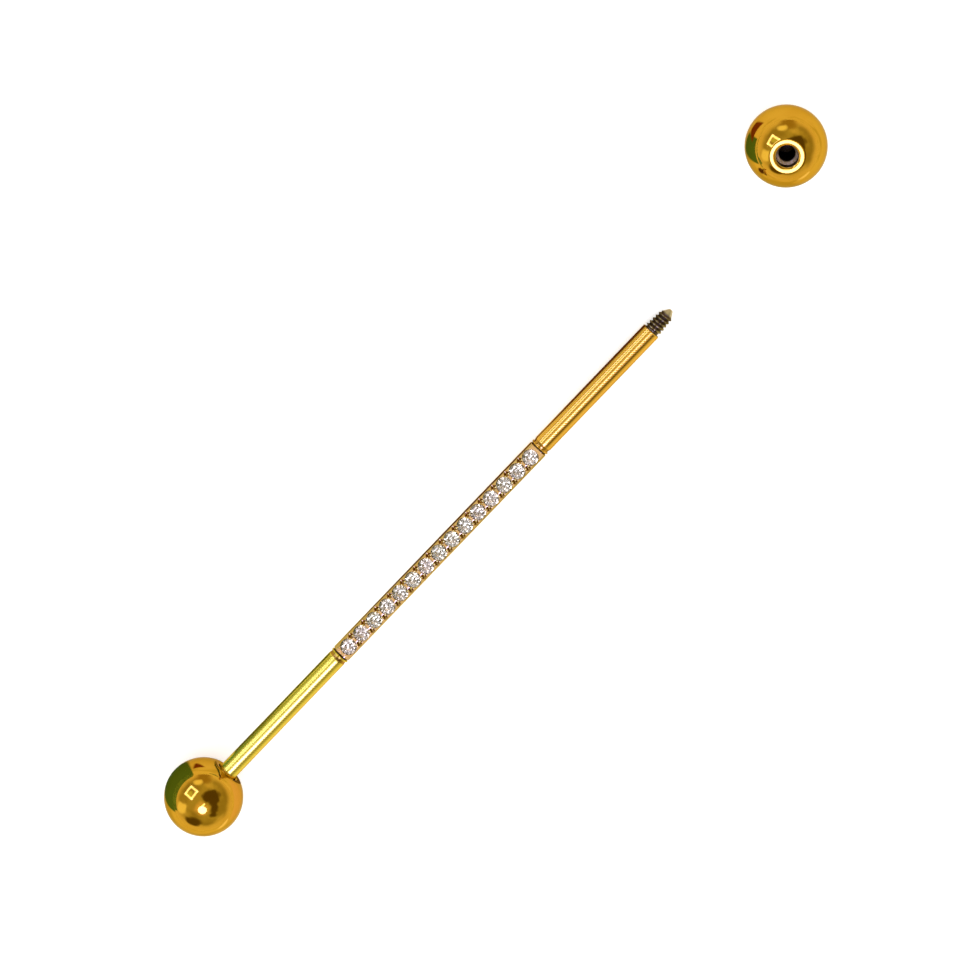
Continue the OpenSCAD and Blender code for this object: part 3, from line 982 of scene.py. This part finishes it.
def clear_stone():
    """Glass with a faint tint that drifts along the row, and a beige painted reflection of the seat's gold
    far from each stone's middle.

    A place's stone number is its distance from the first stone over the pitch. What rounding takes off
    that number, times the pitch, is the distance from the nearest stone's middle along the bar.
    """
    material, tree, shader = new_material("clear_stone_glass")
    place = own_place(tree, bar_up, bar_line, bar_origin)
    tint = blend(tree, ramp(tree, noise(tree, place, 0.9, 1.0), *TINT_EDGES), COOL_CLEAR, LAVENDER)
    x, y, _ = add(tree, "SeparateXYZ", [(0, place)]).outputs
    number = maths(tree, "DIVIDE", maths(tree, "SUBTRACT", x, stone_places[0]), PITCH)
    along = maths(tree, "MULTIPLY", maths(tree, "SUBTRACT", number, maths(tree, "ROUND", number)), PITCH)
    away = from_axis(tree, along, y)
    tint = blend(tree, ramp(tree, away, *RIM_TINT_REACH), tint, RIM_REFLECTION_BEIGE)
    shader.inputs["Specular Tint"].default_value = WARM_GLINT
    tree.links.new(tint, shader.inputs["Base Color"])
    shader.inputs["Roughness"].default_value = 0.0
    shader.inputs["IOR"].default_value = STONE_INDEX
    shader.inputs["Transmission Weight"].default_value = 1.0
    return material


stone_glass = clear_stone()
stones = [node for name, node in sorted(frame["nodes"].items()) if name.startswith("stone_")]
for stone in stones:
    stone.data.materials.clear()
    stone.data.materials.append(stone_glass)
print(len(stones), "stones take the glass")

# %% [markdown]
# ## The pale floor
# The piece lies on a plain white surface under even light, so the floor is almost as bright as the
# background. The metal mirrors that floor, and the real one mirrored coloured things beside it too. Models of
# those would show in the picture. So the floor carries painted reflections that only rays from a glossy
# surface see: a yellowish tint with dim patches, green and red-brown wedges for the coloured things, umber
# and brown strips of painted shade beside the fixed ball and along the rods, a pale peach strip, and two
# ovals that glow as painted highlights.

# %% Floor
FLOOR_R = 1.5
FLOOR_RINGS = (0.0, 0.02, 0.05, 0.15, 0.5, FLOOR_R)
FLOOR_COLUMNS = 64
FLOOR_Z = -0.00001


def pale_floor():
    """A flat disc: rings of points at growing radii, a hair under the piece."""
    angles = np.linspace(0, 2 * math.pi, FLOOR_COLUMNS, endpoint=False)
    radii = np.array(FLOOR_RINGS)[:, None]
    z = np.full((len(FLOOR_RINGS), FLOOR_COLUMNS), FLOOR_Z)
    return np.stack([radii * np.cos(angles), radii * np.sin(angles), z], -1)


floor = surface("pale_floor", [pale_floor()])

# %% [markdown]
# A wedge is the painted reflection of something that starts near a ball and widens away from it, and an oval
# is a small patch: some are painted shade, one is a painted pale reflection, and two are glowing painted
# highlights.
# Both are masks of a place on the floor, which a Mapping node measures from a point of their own.

# %% The floor's paint
GREEN = (0.10, 0.24, 0.10, 1.0)
RED_BROWN = (0.22, 0.06, 0.0, 1.0)
UMBER_SHADE = (0.26, 0.22, 0.10, 1.0)
BROWN_SHADE = (0.11, 0.05, 0.02, 1.0)
PEACH_REFLECTION = (1.0, 0.85, 0.94, 1.0)
# Each wedge, a painted reflection of something coloured beside the piece, is the x and y of its point, its
# direction and half angle in degrees, its start and its reach
REFLECTION_WEDGES = [
    (-27.2, 0.2, 115, 50, 0.9, 60.0, GREEN),
    (27.0, 2.6, 146, 26, 2.6, 24.0, GREEN),
    (-25.2, 2.6, 45, 24, 0.6, 4.6, RED_BROWN),
    (26.8, 4.4, 112, 30, 1.4, 6.5, RED_BROWN),
]
# Each strip, like each bright pool, is the x and y of its middle, its half length and its half width; the
# umber and brown strips are painted shade beside the fixed ball and along the rods, and the peach one is a
# painted pale reflection
SHADE_AND_REFLECTION_STRIPS = [
    (-23.4, -0.7, 1.25, 0.7, UMBER_SHADE),
    (-24.6, -2.8, 0.7, 0.8, UMBER_SHADE),
    (-5.0, 0.55, 11.0, 1.1, BROWN_SHADE),
    (11.0, 0.9, 8.0, 1.7, BROWN_SHADE),
    (-20.0, -14.0, 9.0, 11.0, PEACH_REFLECTION),
]
# Two ovals of the floor glow to glossy rays only, as painted highlights in the balls.
PAINTED_HIGHLIGHT_POOLS = [(-33.4, -32.0, 4.6, 18.0), (21.6, -25.0, 4.0, 14.0)]
PAINTED_HIGHLIGHT_GLOW = (0.5, 0.6, 1.8, 1.0)
OVAL_EDGE = (0.75, 1.1)
WEDGE_EDGE = (-0.3, 0.5)
WEDGE_END_EDGE = 0.3
DRIFT_EDGES = (0.48, 0.66)
FLOOR_LIFT = 0.36
FLOOR_WHITE = (0.95, 0.95, 0.95, 1.0)
# Only glossy rays see this tint and its dim patches, as a painted reflection of the floor.
FLOOR_MIRRORED = (0.93, 0.88, 0.64, 1.0)
FLOOR_DIM = (0.72, 0.68, 0.34, 1.0)


def floor_local(tree, place, x, y, turn=0.0, size=(1.0, 1.0)):
    """Object coordinates about a point of the floor in millimetres, turned and divided by a size."""
    links = [("Vector", place), ("Location", (x * MM, y * MM, 0)), ("Rotation", (0, 0, turn)),
             ("Scale", (size[0] * MM, size[1] * MM, 1))]
    return add(tree, "Mapping", links, vector_type="TEXTURE").outputs[0]


def soft_oval(tree, place, x, y, half_length, half_width):
    """1 inside an oval on the floor: one minus a ramp of the distance from its middle over its half sizes."""
    local = floor_local(tree, place, x, y, size=(half_length, half_width))
    away = add(tree, "VectorMath", [(0, local)], operation="LENGTH").outputs["Value"]
    return outside(tree, ramp(tree, away, *OVAL_EDGE))


def floor_material():
    """White and matt. Glossy rays also see painted reflections: a tint, strips of painted shade and one pale
    strip, coloured wedges, and two ovals that glow as painted highlights.

    A wedge holds where the distance aside is less than the distance ahead times its half angle's tangent.
    """
    material, tree, shader = new_material("pale_floor_with_painted_reflections")
    place = add(tree, "TexCoord").outputs["Object"]
    rays = add(tree, "LightPath").outputs
    glossy = rays["Is Glossy Ray"]
    drift = ramp(tree, noise(tree, place, 70.0, 2.0), *DRIFT_EDGES)
    mirrored = blend(tree, drift, FLOOR_MIRRORED, FLOOR_DIM)
    colour = blend(tree, glossy, FLOOR_WHITE, mirrored)
    for x, y, half_length, half_width, tint in SHADE_AND_REFLECTION_STRIPS:
        mask = soft_oval(tree, place, x, y, half_length, half_width)
        colour = blend(tree, both(tree, mask, glossy), colour, tint)
    for x, y, toward, half_angle, start, reach, tint in REFLECTION_WEDGES:
        local = floor_local(tree, place, x, y, turn=math.radians(toward))
        ahead, aside = add(tree, "SeparateXYZ", [(0, local)]).outputs[:2]
        spread = maths(tree, "MULTIPLY", ahead, math.tan(math.radians(half_angle)))
        inside = ramp(tree, maths(tree, "SUBTRACT", spread, maths(tree, "ABSOLUTE", aside)), *WEDGE_EDGE)
        mask = both(tree, inside, between(tree, ahead, start, reach, WEDGE_END_EDGE))
        colour = blend(tree, both(tree, mask, glossy), colour, tint)
    glow = blend(tree, rays["Is Camera Ray"], (0, 0, 0, 1), (FLOOR_LIFT, FLOOR_LIFT, FLOOR_LIFT, 1))
    for pool in PAINTED_HIGHLIGHT_POOLS:
        glow = blend(tree, both(tree, soft_oval(tree, place, *pool), glossy), glow, PAINTED_HIGHLIGHT_GLOW)
    tree.links.new(colour, shader.inputs["Base Color"])
    tree.links.new(glow, shader.inputs["Emission Color"])
    shader.inputs["Emission Strength"].default_value = 1.0
    shader.inputs["Roughness"].default_value = 1.0
    shader.inputs["Specular IOR Level"].default_value = 0.0
    return material


floor.data.materials.append(floor_material())
print("on the floor:", len(REFLECTION_WEDGES), "wedges,", len(SHADE_AND_REFLECTION_STRIPS), "strips and", len(PAINTED_HIGHLIGHT_POOLS), "bright ovals")

# %% [markdown]
# ## Two upright cards
# Some dark green edges in the balls stand too high to come from the floor. They look like the mirror image of
# something upright beside the piece. Two upright cards stand there as painted reflections, a long green one
# behind and a small olive one near the fixed ball, whose mirror image is painted shade along the rod's edge;
# every ray but a mirrored one passes through them.

# %% Cards
# The long green card is a painted reflection, and the small olive card's mirror image is painted shade along
# the rod's edge.
OLIVE = (0.09, 0.10, 0.03, 1.0)
LIGHT_GREEN = (0.16, 0.36, 0.14, 1.0)
CARD_COLUMNS = 12
# Each card is its start and end along x, its y, and the height of its top at the two ends
FAR_REFLECTION_CARD = (-90, -18, 22.0, (13, 4.5))
NEAR_SHADE_CARD = (-24.3, -15.3, 0.15, (2.1, 1.8))


def standing_card(start, end, y, heights):
    """An upright card: columns run along the floor from start to end, and the top goes between heights."""
    x = np.linspace(start, end, CARD_COLUMNS)
    z = np.stack([np.zeros_like(x), np.linspace(*heights, CARD_COLUMNS)])
    return np.stack(np.broadcast_arrays(x, y, z), -1) * MM


def card_paint(name, first, second):
    """Matt paint that drifts between two colours."""
    material, tree, shader = new_material(name)
    drift = noise(tree, add(tree, "TexCoord").outputs["Object"], 60.0, 2.0)
    tree.links.new(blend(tree, drift, first, second), shader.inputs["Base Color"])
    shader.inputs["Roughness"].default_value = 1.0
    return material


far_reflection_card = surface("green_reflection_card", [standing_card(*FAR_REFLECTION_CARD)], close_columns=False)
far_reflection_card.data.materials.append(card_paint("green_reflection_card_paint", GREEN, LIGHT_GREEN))
near_shade_card = surface("olive_shade_card", [standing_card(*NEAR_SHADE_CARD)], close_columns=False)
near_shade_card.data.materials.append(card_paint("olive_shade_card_paint", OLIVE, GREEN))
for card in (far_reflection_card, near_shade_card):
    for ray_kind in ("camera", "diffuse", "shadow", "transmission"):
        setattr(card, "visible_" + ray_kind, False)
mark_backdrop(floor, far_reflection_card, near_shade_card)

# %% [markdown]
# ## Lights
# A jeweller photographs polished metal under a big soft dome, because a mirror shows whatever surrounds it.
# Two lamps stand out in the balls: a square ring light and a small round lamp close to the lens. A narrow
# strip beside the lens gives the bright streak along the rods. Lamps could be glowing planes, but area lights
# give less noise. Only mirrored rays see these, since the world already lights the floor and the stones.

# %% Lamps
def lamp(name, place, width, length, radiance, colour, up=(0, 0, 1), shape="RECTANGLE"):
    """An area light aimed at the origin. Its power is radiance times pi times its area."""
    data = bpy.data.lights.new(name, "AREA")
    data.shape = shape
    data.size = width
    data.size_y = length
    data.color = colour
    area = width * length * (math.pi / 4 if shape == "ELLIPSE" else 1)
    data.energy = radiance * math.pi * area
    item = bpy.data.objects.new(name, data)
    item.matrix_world = look(place, (0, 0, 0), up).T.tolist()
    item.visible_camera = False
    item.visible_diffuse = False
    item.visible_transmission = False
    bpy.context.scene.collection.objects.link(item)


RING_CORNERS = np.array([[27.7, 275.9, 141.7], [63.5, 179.6, 249.1], [-103.0, 156.8, 267.2],
                         [-122.2, 256.1, 157.2]]) * MM
RING_STRIP = 28 * MM
RING_RADIANCE = 2.85
RING_INSET = 0.16
COLD_WHITE = (0.8, 0.95, 2.6)
COLDER_WHITE = (0.8, 0.9, 3.6)
ROUND_PLACE = (-0.17, -0.114, 0.575)
ROUND_WIDTH = 0.24
ROUND_RADIANCE = 6.0
STRIP_PLACE = (-0.067, -0.032, 0.598)
STRIP_WIDTH = 0.04
STRIP_LENGTH = 0.17
STRIP_RADIANCE = 3.6

ring_middle = RING_CORNERS.mean(0)
for number in range(4):
    start, end = RING_CORNERS[number], RING_CORNERS[(number + 1) % 4]
    run = end - start
    middle = (start + end) / 2 + (ring_middle - (start + end) / 2) * RING_INSET
    length = np.linalg.norm(run)
    lamp(f"ring_light_{number + 1}", middle, RING_STRIP, length, RING_RADIANCE, COLD_WHITE, up=run)
lamp("round_lamp", ROUND_PLACE, ROUND_WIDTH, ROUND_WIDTH, ROUND_RADIANCE, COLDER_WHITE, shape="ELLIPSE")
lamp("strip_lamp", STRIP_PLACE, STRIP_WIDTH, STRIP_LENGTH, STRIP_RADIANCE, COLD_WHITE, up=(1, 0, 0))
print("the ring light's middle stands", round(np.linalg.norm(ring_middle) / MM), "mm from the piece")

# %% [markdown]
# ## The dome
# The world shader gives each kind of ray its own surroundings. The camera sees plain white. Matt surfaces
# are lit by an even white sky. Polished metal sees a dome with a pale glow low down and a few soft patches:
# brighter panels, and the dark shapes of the stand and the lens. Each patch is a cosine test: the angle
# between the ray and the patch's own direction is compared with the patch's radius. Rays that have passed
# through a stone see a mosaic of dark, middling and bright places instead, which makes the stones sparkle.

# %% World
DOME = (0.58, 0.58, 0.30, 1.0)
DOME_DIM = (0.42, 0.40, 0.16, 1.0)
HORIZON = (1.02, 0.96, 0.70, 1.0)
PANEL = (1.30, 1.35, 1.2, 1.0)
SHADE = (0.13, 0.10, 0.01, 1.0)
OCHRE = (0.46, 0.36, 0.10, 1.0)
SKY_FOR_MATT = 1.16
EDGE_WANDER = 0.35
CLOUD_EDGES = (0.35, 0.65)
CLOUD_GAIN = 2.4
CLOUD_SHIFT = -0.2
HORIZON_TOP = 0.5
# Each patch is its direction, its radius and softness in degrees, and its colour
PATCHES = [
    ((-0.25, -0.10, 0.96), 17, 8, (1.0, 0.85, 0.6, 1.0)),
    ((-0.11, 0.72, 0.68), 8, 3, (0.78, 0.95, 0.45, 1.0)),
    ((0.74, 0.64, 0.20), 17, 9, OCHRE),
    ((0.49, 0.77, 0.41), 9, 4, PANEL),
    ((-0.80, 0.41, 0.43), 13, 5, PANEL),
    ((0.45, 0.06, 0.88), 16, 5, SHADE),
    ((0.66, -0.16, 0.73), 14, 5, SHADE),
    ((0.42, -0.36, 0.83), 14, 5, SHADE),
    ((0.20, -0.54, 0.81), 12, 4, SHADE),
    ((-0.07, -0.66, 0.75), 11, 4, SHADE),
    ((-0.84, -0.30, 0.42), 17, 5, SHADE),
]
STONE_DARK = (0.05, 0.06, 0.05, 1.0)
# Each step is two limits of the noise, between which the colour rises to the one given
STONE_STEPS = [
    (0.38, 0.48, (0.53, 0.48, 0.46, 1.0)),
    (0.50, 0.58, (1.58, 1.43, 1.34, 1.0)),
    (0.60, 0.64, (7.0, 6.4, 6.2, 1.0)),
]


def dome_colour(tree, way):
    """What polished metal sees: a clouded dome, paler low down, with a patch wherever a cosine is large.

    Every direction is bent by noise before the patches are tested, so that their edges wander.
    """
    height = add(tree, "SeparateXYZ", [(0, way)]).outputs[2]
    cloud = noise(tree, way, 1.6, 2.0)
    uneven = maths(tree, "MULTIPLY", height, maths(tree, "MULTIPLY_ADD", cloud, CLOUD_GAIN, CLOUD_SHIFT))
    clouded = blend(tree, ramp(tree, cloud, *CLOUD_EDGES), DOME, DOME_DIM)
    colour = blend(tree, ramp(tree, uneven, 0.0, HORIZON_TOP), HORIZON, clouded)
    bend = add(tree, "TexNoise", [("Vector", way), ("Scale", 2.4), ("Detail", 1.0)]).outputs["Color"]
    bend = add(tree, "VectorMath", [(0, bend), (1, (0.5, 0.5, 0.5))], operation="SUBTRACT").outputs[0]
    bend = add(tree, "VectorMath", [(0, bend), ("Scale", EDGE_WANDER)], operation="SCALE").outputs[0]
    bent_way = add(tree, "VectorMath", [(0, way), (1, bend)], operation="ADD").outputs[0]
    bent_way = add(tree, "VectorMath", [(0, bent_way)], operation="NORMALIZE").outputs[0]
    for toward, radius, softness, tint in PATCHES:
        nearness = add(tree, "VectorMath", [(0, bent_way), (1, unit(toward).tolist())],
                       operation="DOT_PRODUCT").outputs["Value"]
        outer = math.cos(math.radians(radius + softness))
        inner = math.cos(math.radians(max(radius - softness, 0)))
        colour = blend(tree, ramp(tree, nearness, outer, inner), colour, tint)
    return colour


def sparkle_colour(tree, way):
    """What rays from the stones see: noise in three steps, from dark up to a glint."""
    facets = noise(tree, way, 3.0, 1.0)
    colour = STONE_DARK
    for low, high, tint in STONE_STEPS:
        colour = blend(tree, ramp(tree, facets, low, high), colour, tint)
    return colour


def dome():
    """Colour by ray kind: white to the camera, brighter on matt surfaces, sparkle in stones or the dome."""
    world = bpy.data.worlds.new("studio dome")
    world.use_nodes = True
    tree = world.node_tree
    background = tree.nodes["Background"]
    way = add(tree, "TexCoord").outputs["Generated"]
    colour = dome_colour(tree, way)
    rays = add(tree, "LightPath").outputs
    colour = blend(tree, rays["Is Transmission Ray"], colour, sparkle_colour(tree, way))
    colour = blend(tree, rays["Is Diffuse Ray"], colour, (SKY_FOR_MATT, SKY_FOR_MATT, SKY_FOR_MATT, 1.0))
    colour = blend(tree, rays["Is Camera Ray"], colour, (1.0, 1.0, 1.0, 1.0))
    tree.links.new(colour, background.inputs["Color"])
    background.inputs["Strength"].default_value = 1.0
    return world


bpy.context.scene.world = dome()
bpy.context.scene.view_settings.view_transform = "Standard"
print("the dome has", len(PATCHES), "patches")

# %% [markdown]
# ## Sizes and the end of the frame's part
# The finished surfaces must stay in the box of the construction, so both boxes are measured and the top
# corner's growth is printed.

# %% Finish
visual_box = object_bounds()
boxes = {"cad": [[float(value) for value in corner] for corner in cad_box],
         "visual": [[float(value) for value in corner] for corner in visual_box]}
grown = [round((boxes["visual"][1][i] - boxes["cad"][1][i]) / MM, 4) for i in range(3)]
print("grown by", grown, "mm at the top corner")
